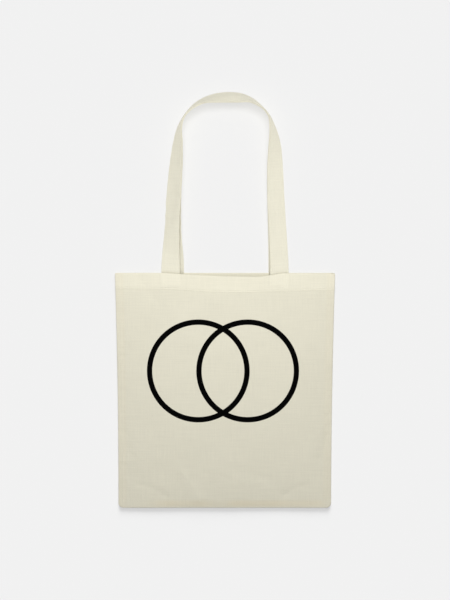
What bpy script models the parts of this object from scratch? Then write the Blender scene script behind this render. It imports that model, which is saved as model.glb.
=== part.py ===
"""A flat cotton shopping bag, lying on its back panel with its two shoulder handles laid out above it.

+X runs across the bag, +Y from the base seam to the handles, and +Z up from the surface that it lies on.
The origin is on that surface, under the middle of the whole outline. Lengths are in metres.
"""

import math
from collections import namedtuple

import bmesh
import bpy
from mathutils import Vector

# Body
BAG_HEIGHT = 0.420
MOUTH_WIDTH = 0.395
BASE_WIDTH = 0.382
BASE_SHIFT = -0.0013
CORNER_RADIUS = 0.007
PUFF_HEIGHT = 0.0145
SIDE_FULLNESS = 2.4
MOUTH_DIP = 0.0058
DIP_REACH = 0.12

# Cloth, seams and hem
CLOTH = 0.001
LAYER_GAP = 0.0003
SEAM_THICKNESS = 0.002
SEAM_ALLOWANCE = 0.0095
HEM_DEPTH = 0.027
HEM_END_GAP = 0.001

# Handles
HANDLE_RISE = 0.3244
FRONT_HANDLE_SPACING = 0.194
BACK_LEFT_INSET = 0.006
BACK_RIGHT_INSET = 0.0034
STRAP_WIDTH = 0.033
STRAP_THICKNESS = 0.002
STRAP_END_MARGIN = 0.0035

# Printed rings
RING_RADIUS = 0.0868
RING_STROKE = 0.0095
RING_SPACING = 0.0881
RINGS_ABOVE_BASE = 0.2452
RINGS_SHIFT = -0.0036
PRINT_THICKNESS = 0.0004

# Fineness of the meshes
ROUND_SEGMENTS = 3
FRONT_COLUMNS = 30
FRONT_ROWS = 28
BACK_COLUMNS = 8
BACK_ROWS = 8
HEM_ROWS = 2
HEM_COLUMNS = 28
SEAM_ROWS = 14
STRAP_SECTIONS = 92
STRAP_COLUMNS = 2
RING_SEGMENTS = 72
SLOPE_STEP = 0.002

# Worked out from the sizes above
EDGE_HEIGHT = 2 * (CLOTH + LAYER_GAP) + SEAM_THICKNESS
RIM_TUCK = CLOTH * math.tan(math.pi / 4 / ROUND_SEGMENTS)
EDGE_RADIUS = (EDGE_HEIGHT - LAYER_GAP) / 2 - RIM_TUCK
Y_SHIFT = (BAG_HEIGHT + HANDLE_RISE) / 2
STRAP_ROOT = (FRONT_HANDLE_SPACING + STRAP_WIDTH) / 2
STRAP_TUCK = HEM_DEPTH - STRAP_END_MARGIN
HEM_LEVEL = CLOTH + LAYER_GAP
STRAP_LEVEL = 2 * (CLOTH + LAYER_GAP) + STRAP_THICKNESS / 2

# How full the bag is on its way up: up is a share of the height, puff a share of the puff height.
Fullness = namedtuple("Fullness", "up puff")
FULLNESS = (
    Fullness(0.00, 0.00),
    Fullness(0.04, 0.30),
    Fullness(0.10, 0.56),
    Fullness(0.20, 0.80),
    Fullness(0.35, 0.96),
    Fullness(0.50, 1.00),
    Fullness(0.65, 0.94),
    Fullness(0.80, 0.78),
    Fullness(0.93, 0.57),
    Fullness(1.00, 0.50),
)

# How far the front edge of the mouth sags: across is a share of the half width, dip of the mouth dip.
Dip = namedtuple("Dip", "across dip")
MOUTH_DIPS = (
    Dip(-1.00, 0.0),
    Dip(-0.55, 0.0),
    Dip(-0.36, 0.25),
    Dip(0.00, 0.65),
    Dip(0.30, 1.0),
    Dip(0.42, 0.55),
    Dip(0.52, 0.15),
    Dip(1.00, 0.2),
)

# Soft folds of the front: each end is a share of the half width and of the height, reach is a share of
# the height, and rise a share of the puff height, negative for a dent.
Fold = namedtuple("Fold", "from_across from_up to_across to_up reach rise")
FOLDS = (
    Fold(-0.92, 0.130, -0.52, 0.050, 0.030, -0.075),
    Fold(0.94, 0.128, 0.48, 0.055, 0.030, -0.075),
    Fold(-0.46, 0.230, -0.24, 0.045, 0.028, 0.070),
    Fold(-0.99, 0.360, -0.88, 0.230, 0.022, -0.065),
    Fold(0.99, 0.330, 0.88, 0.210, 0.022, -0.065),
    Fold(0.08, 0.170, 0.42, 0.120, 0.026, -0.045),
    Fold(-0.78, 0.985, -0.66, 0.900, 0.022, -0.060),
)

# The route of the pair of handles, from the left root over the top to the right root. Rise is the height
# of the outer edge above the mouth as a share of the handle rise, and across its distance from the middle
# as a share of the root's. A roll of 0 degrees lies flat and 90 stands on the outer edge. Inset is the
# share of the back handle's inset on that side, and lift the share of the way up to the mouth.
Station = namedtuple("Station", "rise across front_roll back_roll inset lift")
HANDLE_ROUTE = (
    Station(0.000, -1.000, 0, 0, 1.0, 1.00),
    Station(0.035, -1.000, 6, 0, 1.0, 0.80),
    Station(0.110, -0.985, 20, 10, 0.8, 0.34),
    Station(0.240, -0.948, 36, 27, 0.3, 0.06),
    Station(0.420, -0.920, 38, 36, 0.0, 0.00),
    Station(0.600, -0.870, 47, 46, 0.0, 0.00),
    Station(0.720, -0.828, 56, 55, 0.0, 0.00),
    Station(0.800, -0.770, 67, 66, 0.0, 0.00),
    Station(0.865, -0.680, 78, 76, 0.0, 0.00),
    Station(0.920, -0.520, 82, 79, 0.0, 0.00),
    Station(0.958, -0.360, 73, 70, 0.0, 0.00),
    Station(0.986, -0.160, 62, 60, 0.0, 0.00),
    Station(0.996, 0.060, 60, 55, 0.0, 0.00),
    Station(0.987, 0.260, 67, 53, 0.0, 0.00),
    Station(0.958, 0.440, 77, 64, 0.0, 0.00),
    Station(0.912, 0.605, 83, 79, 0.0, 0.00),
    Station(0.845, 0.762, 79, 75, 0.0, 0.00),
    Station(0.770, 0.845, 66, 62, 0.1, 0.00),
    Station(0.690, 0.888, 52, 49, 0.2, 0.00),
    Station(0.560, 0.915, 42, 40, 0.2, 0.00),
    Station(0.400, 0.938, 33, 30, 0.3, 0.00),
    Station(0.220, 0.970, 22, 18, 0.4, 0.08),
    Station(0.110, 0.990, 12, 8, 0.6, 0.34),
    Station(0.035, 1.000, 3, 0, 0.9, 0.80),
    Station(0.000, 1.000, 0, 0, 1.0, 1.00),
)


def smooth_value(keys, values, at):
    """Reads values at a place among their keys, along a smooth curve through all of them."""
    if at <= keys[0]:
        return values[0]
    if at >= keys[-1]:
        return values[-1]
    i = max(k for k in range(len(keys) - 1) if keys[k] <= at)

    def slope(k):
        low, high = max(k - 1, 0), min(k + 1, len(keys) - 1)
        return (values[high] - values[low]) / (keys[high] - keys[low])

    span = keys[i + 1] - keys[i]
    t = (at - keys[i]) / span
    start = (2 * t**3 - 3 * t**2 + 1) * values[i] + (t**3 - 2 * t**2 + t) * span * slope(i)
    end = (3 * t**2 - 2 * t**3) * values[i + 1] + (t**3 - t**2) * span * slope(i + 1)
    return start + end


def column_of(table, name):
    """One named column of a table as a list."""
    return [getattr(row, name) for row in table]


def smooth_step(t):
    """Rises smoothly from 0 to 1 as t does."""
    t = min(max(t, 0.0), 1.0)
    return t * t * (3 - 2 * t)


def half_width(up):
    """Half of the bag's width at a height above the base seam."""
    share = min(max(up / BAG_HEIGHT, 0.0), 1.0)
    return (BASE_WIDTH + (MOUTH_WIDTH - BASE_WIDTH) * share**2) / 2


def middle_line(up):
    """The bag's middle at a height above the base seam, which drifts a little sideways to the base."""
    share = min(max(up / BAG_HEIGHT, 0.0), 1.0)
    return BASE_SHIFT * (1 - share) ** 2


def side_share(across, up):
    """Where a point is between the middle (0) and a side seam (-1 or 1)."""
    share = (across - middle_line(up)) / half_width(up)
    return min(max(share, -1.0), 1.0)


def fold_height(across, up):
    """What the soft folds add to the front at one point."""
    total = 0.0
    here = Vector((across, up))
    for fold in FOLDS:
        start_up = fold.from_up * BAG_HEIGHT
        end_up = fold.to_up * BAG_HEIGHT
        start = Vector((middle_line(start_up) + fold.from_across * half_width(start_up), start_up))
        end = Vector((middle_line(end_up) + fold.to_across * half_width(end_up), end_up))
        run = end - start
        along = min(max((here - start).dot(run) / run.length_squared, 0.0), 1.0)
        distance = (here - start - run * along).length
        total += fold.rise * PUFF_HEIGHT * math.exp(-((distance / (fold.reach * BAG_HEIGHT)) ** 2))
    return total


def front_height(across, up):
    """The height of the front's outer face inside its rounded edges."""
    side = abs(side_share(across, up))
    along = smooth_value(column_of(FULLNESS, "up"), column_of(FULLNESS, "puff"), up / BAG_HEIGHT)
    dome = (1 - side**SIDE_FULLNESS) * along
    near_edge = min(1.0, half_width(up) * (1 - side) / SEAM_ALLOWANCE, up / SEAM_ALLOWANCE)
    return EDGE_HEIGHT + PUFF_HEIGHT * dome + fold_height(across, up) * max(near_edge, 0.0)


def edge_drop(inset):
    """How far the rounded edge lies below the cloth beside it."""
    if inset >= EDGE_RADIUS:
        return 0.0
    return EDGE_RADIUS - math.sqrt(EDGE_RADIUS**2 - (EDGE_RADIUS - inset) ** 2)


def mouth_dip(across, up):
    """How far the front is drawn down from the mouth at one point."""
    side = side_share(across, up)
    dip = smooth_value(column_of(MOUTH_DIPS, "across"), column_of(MOUTH_DIPS, "dip"), side)
    return MOUTH_DIP * dip * smooth_step((up - BAG_HEIGHT + DIP_REACH) / DIP_REACH)


def under_front(across, up, depth):
    """The point that lies a depth under the front's outer face, or over it where the depth is negative."""
    left, right = across - SLOPE_STEP, across + SLOPE_STEP
    slope_across = (front_height(right, up) - front_height(left, up)) / (right - left)
    low, high = up - SLOPE_STEP, min(up + SLOPE_STEP, BAG_HEIGHT)
    slope_up = (front_height(across, high) - front_height(across, low)) / (high - low)
    normal = Vector((-slope_across, -slope_up, 1)).normalized()
    return Vector((across, up, front_height(across, up))) - normal * depth


def round_insets():
    """Distances in from an edge at which its quarter round is cut into equal turns."""
    turn = math.pi / 2 / ROUND_SEGMENTS
    return [EDGE_RADIUS * (1 - math.cos(turn * i)) for i in range(ROUND_SEGMENTS + 1)]


def near_insets():
    """The insets of a panel's first rows or columns: its rounded edge, then its seam allowance."""
    return [*round_insets(), (EDGE_RADIUS + SEAM_ALLOWANCE) / 2, SEAM_ALLOWANCE]


def panel_columns(count):
    """A panel's columns as (side, inset, share): an inset from the side seam, then a share of the rest."""
    near = [(inset, 0.0) for inset in near_insets()]
    half = count // 2
    far = [(SEAM_ALLOWANCE, i / half) for i in range(1, half + 1)]
    left = [(-1, inset, share) for inset, share in near + far]
    right = [(1, inset, share) for inset, share in reversed(near + far[:-1])]
    return left + right


def panel_rows(count):
    """A panel's rows as heights above the base seam."""
    hem_line = BAG_HEIGHT - HEM_DEPTH
    steps = [i / count for i in range(1, count + 1)]
    middle = [SEAM_ALLOWANCE + (hem_line - SEAM_ALLOWANCE) * step for step in steps]
    top = [hem_line + HEM_DEPTH * i / HEM_ROWS for i in range(1, HEM_ROWS + 1)]
    return near_insets() + middle + top


def panel_outline(column, up):
    """The place of a panel's grid point in the flat, with rounded lower corners, and its edge inset."""
    side, inset, share = column
    from_side = inset + share * (half_width(up) - SEAM_ALLOWANCE)
    edge_inset = min(from_side, up)
    if from_side < CORNER_RADIUS and up < CORNER_RADIUS:
        reach_side, reach_up = CORNER_RADIUS - from_side, CORNER_RADIUS - up
        pull = max(reach_side, reach_up) / math.hypot(reach_side, reach_up)
        from_side = CORNER_RADIUS - reach_side * pull
        up = CORNER_RADIUS - reach_up * pull
    return middle_line(up) + side * (half_width(up) - from_side), up, edge_inset


def panel_grid(point_of, columns, rows):
    """Rows of a panel's points, from the base seam up to the mouth."""
    return [[point_of(column, up) for column in panel_columns(columns)] for up in panel_rows(rows)]


def front_point(column, up):
    """A point of the front panel's outer face."""
    across, up, inset = panel_outline(column, up)
    up -= mouth_dip(across, up)
    return Vector((across, up, front_height(across, up) - edge_drop(inset)))


def back_point(column, up):
    """A point of the back panel's outer face, flat where it lies and rounded up to its edges."""
    across, up, inset = panel_outline(column, up)
    return Vector((across, up, edge_drop(inset)))


def hem_span(share, up):
    """A place across the hem, whose ends stop short of the side seams."""
    reach = half_width(up) - SEAM_ALLOWANCE - HEM_END_GAP
    return middle_line(up) + share * reach


def front_hem_point(share, up):
    """A point of the front hem's upper face, turned in under the front panel."""
    across = hem_span(share, up)
    return under_front(across, up - mouth_dip(across, up), HEM_LEVEL)


def back_hem_point(share, up):
    """A point of the back hem's lower face, turned in over the back panel."""
    return Vector((hem_span(share, up), up, HEM_LEVEL))


def seam_point(side, inset, up):
    """A point of a side seam's allowance, halfway up between the two panels."""
    across = middle_line(up) + side * (half_width(up) - inset)
    return Vector((across, up, EDGE_HEIGHT / 2))


def handle_line():
    """The handles' route as rows of numbers: a distance along it, then each column of its stations."""
    travelled = 0.0
    rows = []
    before = None
    for station in HANDLE_ROUTE:
        here = Vector((station.across * STRAP_ROOT, station.rise * HANDLE_RISE))
        if before is not None:
            travelled += (here - before).length
        before = here
        rows.append((travelled, here.x, here.y, *station[2:]))
    return rows


def handle_section(rows, at):
    """The route read at a distance along it: outer edge, inward direction, rolls, inset and lift."""
    keys = [row[0] for row in rows]
    edge_x, edge_y, front_roll, back_roll, inset, lift = (
        smooth_value(keys, [row[k] for row in rows], at) for k in range(1, 7)
    )
    ahead = [smooth_value(keys, [row[k] for row in rows], at + SLOPE_STEP) for k in (1, 2)]
    behind = [smooth_value(keys, [row[k] for row in rows], at - SLOPE_STEP) for k in (1, 2)]
    tangent = Vector((ahead[0] - behind[0], ahead[1] - behind[1])).normalized()
    inward = Vector((tangent.y, -tangent.x, 0))
    rolls = math.radians(front_roll), math.radians(back_roll)
    return Vector((edge_x, BAG_HEIGHT + edge_y, 0)), inward, rolls, inset, min(max(lift, 0.0), 1.0)


def strap_direction(inward, roll):
    """The direction across a strap, from its outer edge to its inner one."""
    return inward * math.cos(roll) + Vector((0, 0, math.sin(roll)))


def resting_level(roll):
    """The height of the middle of a strap's outer edge where the strap rests on that edge."""
    return LAYER_GAP + STRAP_THICKNESS / 2 * math.cos(roll)


def front_strap_point(section, share):
    """A point halfway through the front handle, a share of its width in from its outer edge."""
    edge, inward, (front_roll, back_roll), _, lift = section
    nest = (STRAP_THICKNESS + LAYER_GAP) * math.cos(front_roll)
    lying = edge + Vector((0, 0, resting_level(back_roll) + nest))
    point = lying + strap_direction(inward, front_roll) * STRAP_WIDTH * share
    mouth = BAG_HEIGHT - mouth_dip(point.x, BAG_HEIGHT)
    held = under_front(point.x, mouth, STRAP_LEVEL)
    point.z += (held.z - point.z) * lift
    return point


def back_inset(side):
    """How far in from the front handle's leg the back handle's lies, on the left (-) or the right (+)."""
    return BACK_LEFT_INSET if side < 0 else BACK_RIGHT_INSET


def back_strap_point(section, share):
    """A point halfway through the back handle, which lies under the front one."""
    edge, inward, (front_roll, back_roll), inset, lift = section
    under = inward * math.sin(front_roll) * (STRAP_THICKNESS + LAYER_GAP)
    lying = edge + under + Vector((0, 0, resting_level(back_roll)))
    slide = back_inset(edge.x) * inset
    point = lying + strap_direction(inward, back_roll) * (STRAP_WIDTH * share + slide)
    point.z += (STRAP_LEVEL - point.z) * lift
    return point


def front_tuck_point(side, share, below):
    """A point of the front handle's end, under the hem."""
    across = side * (STRAP_ROOT - STRAP_WIDTH * share)
    return under_front(across, BAG_HEIGHT - mouth_dip(across, BAG_HEIGHT) - below, STRAP_LEVEL)


def back_tuck_point(side, share, below):
    """A point of the back handle's end, on the back hem."""
    across = side * (STRAP_ROOT - STRAP_WIDTH * share - back_inset(side))
    return Vector((across, BAG_HEIGHT - below, STRAP_LEVEL))


def clear_scene():
    """Removes every object that is in the scene."""
    for obj in list(bpy.data.objects):
        bpy.data.objects.remove(obj)


def finish_material(name, colour, roughness):
    """A plain material of one colour."""
    material = bpy.data.materials.new(name)
    material.use_nodes = True
    shader = material.node_tree.nodes["Principled BSDF"]
    shader.inputs["Base Color"].default_value = (*colour, 1.0)
    shader.inputs["Roughness"].default_value = roughness
    shader.inputs["Metallic"].default_value = 0.0
    return material


def add_object(name, bm, material):
    """Puts a mesh in the scene as one smooth object, moved so that the outline's middle is the origin."""
    mesh = bpy.data.meshes.new(name)
    bmesh.ops.translate(bm, verts=bm.verts, vec=Vector((0, -Y_SHIFT, 0)))
    bm.to_mesh(mesh)
    bm.free()
    mesh.materials.append(material)
    mesh.shade_smooth()
    obj = bpy.data.objects.new(name, mesh)
    bpy.context.scene.collection.objects.link(obj)
    return obj


def add_cloth(name, rows, thickness, offset, material, face_down=False):
    """A sheet through rows of points, thickened into cloth about its face (-1) or its middle (0)."""
    bm = bmesh.new()
    grid = [[bm.verts.new(point) for point in row] for row in rows]
    for low, high in zip(grid, grid[1:]):
        for i in range(len(low) - 1):
            corners = (low[i], low[i + 1], high[i + 1], high[i])
            bm.faces.new(corners[::-1] if face_down else corners)
    obj = add_object(name, bm, material)
    solidify = obj.modifiers.new("Cloth", "SOLIDIFY")
    solidify.thickness = thickness
    solidify.offset = offset
    solidify.use_even_offset = True
    return obj


def add_panels(cloth):
    """The front and back panels, which meet at the side and base seams."""
    front = panel_grid(front_point, FRONT_COLUMNS, FRONT_ROWS)
    add_cloth("front_panel", front, CLOTH, -1, cloth)
    back = panel_grid(back_point, BACK_COLUMNS, BACK_ROWS)
    add_cloth("back_panel", back, CLOTH, -1, cloth, face_down=True)


def add_hems(cloth):
    """The hems turned in at both edges of the mouth."""
    shares = [2 * i / HEM_COLUMNS - 1 for i in range(HEM_COLUMNS + 1)]
    ups = [BAG_HEIGHT - HEM_DEPTH + HEM_DEPTH * i / HEM_ROWS for i in range(HEM_ROWS + 1)]
    front = [[front_hem_point(share, up) for share in shares] for up in ups]
    add_cloth("front_hem", front, CLOTH, -1, cloth)
    back = [[back_hem_point(share, up) for share in shares] for up in ups]
    add_cloth("back_hem", back, CLOTH, -1, cloth, face_down=True)


def add_seams(cloth):
    """The seam allowances that lie between the panels along the sides and the base."""
    start = SEAM_ALLOWANCE + HEM_END_GAP
    ups = [start + (BAG_HEIGHT - start) * i / SEAM_ROWS for i in range(SEAM_ROWS + 1)]
    for name, side in (("left_seam", -1), ("right_seam", 1)):
        insets = (SEAM_ALLOWANCE, EDGE_RADIUS) if side > 0 else (EDGE_RADIUS, SEAM_ALLOWANCE)
        rows = [[seam_point(side, inset, up) for inset in insets] for up in ups]
        add_cloth(name, rows, SEAM_THICKNESS, 0, cloth)
    base_rows = []
    for up in (EDGE_RADIUS, SEAM_ALLOWANCE):
        reach = half_width(up) - SEAM_ALLOWANCE - HEM_END_GAP
        ends = (middle_line(up) - reach, middle_line(up) + reach)
        base_rows.append([Vector((across, up, EDGE_HEIGHT / 2)) for across in ends])
    add_cloth("bottom_seam", base_rows, SEAM_THICKNESS, 0, cloth)


def strap_rows(point_of, tuck_of):
    """Rows of points along one handle, from its tucked end at the left to the one at the right."""
    route = handle_line()
    shares = [i / STRAP_COLUMNS for i in range(STRAP_COLUMNS + 1)]
    tucks = (STRAP_TUCK, STRAP_TUCK / 2)
    rows = [[tuck_of(-1, share, below) for share in shares] for below in tucks]
    for i in range(STRAP_SECTIONS + 1):
        section = handle_section(route, route[-1][0] * i / STRAP_SECTIONS)
        rows.append([point_of(section, share) for share in shares])
    rows += [[tuck_of(1, share, below) for share in shares] for below in reversed(tucks)]
    return rows


def add_handles(webbing):
    """The two handles, with their ends tucked in at the mouth."""
    front = strap_rows(front_strap_point, front_tuck_point)
    add_cloth("front_handle", front, STRAP_THICKNESS, 0, webbing, face_down=True)
    back = strap_rows(back_strap_point, back_tuck_point)
    add_cloth("back_handle", back, STRAP_THICKNESS, 0, webbing, face_down=True)


def ring_mesh(centre):
    """One printed ring as a flat band."""
    bm = bmesh.new()
    profile = []
    for height in (0, PRINT_THICKNESS):
        for radius in (RING_RADIUS - RING_STROKE / 2, RING_RADIUS + RING_STROKE / 2):
            profile.append((radius, height))
    inner_low, outer_low, inner_high, outer_high = range(4)
    loops = []
    for i in range(RING_SEGMENTS):
        turn = 2 * math.pi * i / RING_SEGMENTS
        points = [
            (centre + radius * math.cos(turn), RINGS_ABOVE_BASE + radius * math.sin(turn), height)
            for radius, height in profile
        ]
        loops.append([bm.verts.new(point) for point in points])
    around = (inner_low, inner_high, outer_high, outer_low, inner_low)
    for here, ahead in zip(loops, loops[1:] + loops[:1]):
        for first, second in zip(around, around[1:]):
            bm.faces.new((here[first], here[second], ahead[second], ahead[first]))
    bmesh.ops.recalc_face_normals(bm, faces=bm.faces)
    return bm


def joined_rings():
    """The two rings joined into one flat band where they cross."""
    made = []
    for name, side in (("left_ring", -1), ("right_ring", 1)):
        mesh = bpy.data.meshes.new(name)
        bm = ring_mesh(RINGS_SHIFT + side * RING_SPACING / 2)
        bm.to_mesh(mesh)
        bm.free()
        ring = bpy.data.objects.new(name, mesh)
        bpy.context.scene.collection.objects.link(ring)
        made.append(ring)
    union = made[0].modifiers.new("Join", "BOOLEAN")
    union.operation = "UNION"
    union.object = made[1]
    graph = bpy.context.evaluated_depsgraph_get()
    bm = bmesh.new()
    bm.from_object(made[0], graph)
    for ring in made:
        bpy.data.objects.remove(ring)
    return bm


def add_print(ink):
    """The printed rings, laid over the front panel."""
    bm = joined_rings()
    for vert in bm.verts:
        rise = vert.co.z + LAYER_GAP
        vert.co = under_front(vert.co.x, vert.co.y, -rise)
    add_object("ring_print", bm, ink)


def main():
    clear_scene()
    cloth = finish_material("natural_cotton", (0.74, 0.71, 0.58), 0.92)
    webbing = finish_material("cotton_strap", (0.74, 0.70, 0.57), 0.9)
    ink = finish_material("black_print", (0.008, 0.008, 0.008), 0.55)
    add_panels(cloth)
    add_hems(cloth)
    add_seams(cloth)
    add_handles(webbing)
    add_print(ink)


main()
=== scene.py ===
"""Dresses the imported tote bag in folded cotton, sewn straps, stitching and print, and sets up its stage.

It runs as a script. Lengths are in metres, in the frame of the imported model: +X across the bag, +Y from the
base seam to the handles, +Z up from the surface that it lies on.
"""

import math
from collections import namedtuple

import bmesh
import bpy
import numpy as np
from bpy.props import FloatProperty, FloatVectorProperty, PointerProperty
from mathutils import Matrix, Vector


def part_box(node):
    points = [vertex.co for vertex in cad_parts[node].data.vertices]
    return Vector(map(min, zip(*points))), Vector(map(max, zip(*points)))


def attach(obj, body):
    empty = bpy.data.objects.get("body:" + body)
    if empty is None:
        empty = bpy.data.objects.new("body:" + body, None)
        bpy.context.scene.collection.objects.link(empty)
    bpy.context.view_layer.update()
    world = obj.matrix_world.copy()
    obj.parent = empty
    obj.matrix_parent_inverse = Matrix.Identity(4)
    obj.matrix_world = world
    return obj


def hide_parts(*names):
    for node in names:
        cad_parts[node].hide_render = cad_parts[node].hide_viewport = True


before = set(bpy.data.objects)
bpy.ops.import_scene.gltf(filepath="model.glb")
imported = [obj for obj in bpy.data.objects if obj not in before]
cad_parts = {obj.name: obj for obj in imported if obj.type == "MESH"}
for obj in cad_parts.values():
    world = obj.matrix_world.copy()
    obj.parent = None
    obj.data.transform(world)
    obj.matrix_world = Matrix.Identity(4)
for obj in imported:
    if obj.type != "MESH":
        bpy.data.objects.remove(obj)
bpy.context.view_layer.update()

bl_info = {
    "name": "Cotton Tote",
    "version": (1, 0, 0),
    "blender": (4, 5, 0),
    "location": "3D View > Sidebar > Tote",
    "description": "Dresses a flat tote bag in folded cotton, sewn straps, stitching and print",
    "category": "Mesh",
}

MM = 0.001


def rows_of(kind, rows):
    """A table's plain rows, each with the names of its columns."""
    return tuple(kind(*row) for row in rows)


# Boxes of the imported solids, as (low corner, high corner)
PANEL_LOW, PANEL_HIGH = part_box("back_panel")
SEAM_LOW, SEAM_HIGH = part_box("left_seam")
FRONT_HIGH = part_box("front_panel")[1]
HANDLE_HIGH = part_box("front_handle")[1]

# The body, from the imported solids
BASE_Y = PANEL_LOW.y
BAG_HEIGHT = PANEL_HIGH.y - PANEL_LOW.y
MOUTH_TRIM = 1.4 * MM
MOUTH_WIDTH = PANEL_HIGH.x - PANEL_LOW.x - MOUTH_TRIM
EDGE_HEIGHT = SEAM_LOW.z + SEAM_HIGH.z
PUFF_HEIGHT = FRONT_HIGH.z - EDGE_HEIGHT
STRAP_ROOT = HANDLE_HIGH.x
LAYER_STEP = SEAM_LOW.z
BASE_SHIFT = -0.4 * MM
SIDE_FULLNESS = 2.4
MOUTH_DIP = 5.8 * MM
DIP_REACH = 120 * MM

# How the panels are divided: turns round a rim and round the hem's fold in degrees, and places from a
# seam and over the hem line in mm
RIM_RADIUS = EDGE_HEIGHT / 2 / 1.42
RIM_TURN = (112, 92, 74, 56, 38, 20)
FOLD_TURN = (30, 60, 90, 120, 150, 180)
NEAR_SEAM = (2.4, 3.6, 5.0, 6.4, 7.8, 9.0, 10.0, 11.2, 13.0)
HEM_STEPS = (-4.0, -2.8, -1.8, -1.0, -0.3, 0.3, 0.9, 1.5, 2.1, 2.7, 3.4, 4.4, 6.0)
BAND_ROWS = 8
INNER_ROWS = 7

# How much lighter the cloth shows at a strap's end, beside the 1 of the hem's band, and how much painted
# shade darkens it at the hem's fold and inside the mouth
FOLD_PAINTED_SHADE = -0.35
INSIDE_PAINTED_SHADE = -1.0
BOX_LAYER = 0.6

# Stitch lines: where they run, and how deep and wide each dents the cloth
HEM_STITCH_UP = 2.1 * MM
BOX_MARGIN = 2.6 * MM
STRAP_END_INSET = 3.2 * MM
Dent = namedtuple("Dent", "depth reach")
FRONT_HEM_DENT = Dent(0.45 * MM, 0.8 * MM)
BACK_HEM_DENT = Dent(0.4 * MM, 0.9 * MM)
FRONT_BOX_DENT = Dent(0.4 * MM, 1.5 * MM)
BACK_BOX_DENT = Dent(0.4 * MM, 1.1 * MM)
STRAP_DENT = Dent(0.28 * MM, 0.7 * MM)

# Hidden layers: how far they lift the cloth over them
HEM_SWELL = 0.6 * MM
BOX_SWELL = 0.7 * MM
SEAM_RIDGE = 0.45 * MM
BASE_RIDGE_SHARE = 0.4

# Soft edges of what shows through the cloth: how far ahead of the edge it starts, and how far it takes to
# show in full. The last two are shares of the half width.
Edge = namedtuple("Edge", "ahead run")
HEM_EDGE = Edge(0.4 * MM, 1.4 * MM)
BOX_EDGE = Edge(2.2 * MM, 2.2 * MM)
SIDE_RIDGE_EDGE = Edge(1.2 * MM, 2.4 * MM)
BASE_RIDGE_EDGE = Edge(3 * MM, 6 * MM)
SIDE_WARMTH_EDGE = Edge(17 * MM, 5 * MM)
BASE_WARMTH_EDGE = Edge(17 * MM, 7 * MM)
BASE_FOLD_EDGE = Edge(-1 * MM, 4 * MM)
WARMTH_LEFT_EDGE = Edge(0.90, 0.40)
WARMTH_RIGHT_EDGE = Edge(1.0, 0.14)

# Gathers: how far they reach from their stitching, and how high the hem's are beside the others'
GATHER_REACH = 7 * MM
BELOW_HEM_REACH = 11 * MM
ABOVE_HEM_REACH = 5 * MM
BACK_GATHER_INSET = 8 * MM
HEM_PUCKER_SHARE = 1.1

# The front's fine waves beside its broad ones, the gap inside the hem's fold, and how far its cloth stays
# from the seam allowances and runs on below the hem line
FINE_SHARE = 0.35
FOLD_GAP = 0.5 * MM
RAW_EDGE = 1 * MM

# The seam allowances: where they start from the seam, how much narrower and thinner they are than their
# solids, how their raw edge wanders and lifts, and how far they stay from each other and from the mouth
ALLOWANCE_START = 2.4 * MM
ALLOWANCE_TRIM = 2.6 * MM
ALLOWANCE_THINNING = 0.2 * MM
RAW_WANDER = 0.25 * MM
RAW_LIFT = 0.12 * MM
ALLOWANCE_GAP = 1.5 * MM
MOUTH_GAP = 4 * MM
ALLOWANCE_COLUMNS = 7
SIDE_ROWS = 120
BASE_ROWS = 100

# How the seam allowances tint the cloth over them, and the colour of the seed flecks in it
WARM_TINT = (1.0, 0.965, 0.915)
SEED_FLECK = (0.30, 0.22, 0.12, 1.0)

# Loose waves and gathers: how long their waves are, and the seed that they are drawn from
Waves = namedtuple("Waves", "wavelength seed")
BROAD_RUMPLE = Waves(0.095, 11)
FINE_RUMPLE = Waves(0.034, 12)
HEM_GATHER = Waves(10 * MM, 21)
SIDE_GATHER = Waves(13 * MM, 22)
BASE_GATHER = Waves(15 * MM, 23)
BACK_RUMPLE = Waves(0.08, 31)
BACK_GATHER = Waves(14 * MM, 32)
STRAP_SWAY = {"front": Waves(26 * MM, 41), "back": Waves(26 * MM, 42)}
STRAP_CRUMPLES = Waves(24 * MM, 43)
ALLOWANCE_GATHER = Waves(30 * MM, 51)
WARMTH_DRIFT = Waves(70 * MM, 61)

# The straps: their rows of points, their bend across, and where the left leg is crumpled. Places across are
# in mm from an edge, crumples are in mm high, and the tucked rows lie at shares of the tuck.
STRAP_ROWS = 390
STRAP_PLACES = (0, 0.12, 0.4, 0.9, 1.6, 2.4, 2.8, 3.2, 3.6, 4.0, 5.0, 7.5, 11.0)
STRAP_GAP = 0.1 * MM
STRAP_THINNING = 0.12 * MM
TUCKED_ROWS = np.array([0.25, 0.5, 0.75, 1.0])
ROUTE_STEP = 2 * MM
BEND_STEPS = 24
BEND_AT = 0.58
BEND_SOFTNESS = 0.10
SWAY_HEIGHT = 0.10 * MM
CRUMPLE_HEIGHT = 0.10
LEFT_CRUMPLE_HEIGHT = 0.38
CRUMPLED_AT = 115 * MM
CRUMPLED_REACH = 45 * MM

# One stitch: places along it, and its height and girth there in thread radii
STITCH_AT = np.array([0.0, 0.2, 0.5, 0.8, 1.0])
STITCH_HEIGHT = np.array([-0.9, 0.45, 0.75, 0.45, -0.9])
STITCH_GIRTH = np.array([0.7, 1.0, 1.0, 1.0, 0.7])
THREAD_SIDES = 5
THREAD_SINK = -0.05 * MM
THREAD_STEP = 0.2 * MM
HEM_PATH_POINTS = 400
BOX_PATH_POINTS = 30

# The printed film: its steps round a ring, its rows across the line in strokes, its height, and how deep
# it sinks into the cloth
RING_STEPS = 300
RING_ROWS = np.array([-0.5, -0.25, 0.0, 0.25, 0.5])
FILM_HEIGHT = 0.2 * MM
FILM_SINK = 0.1 * MM

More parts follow.
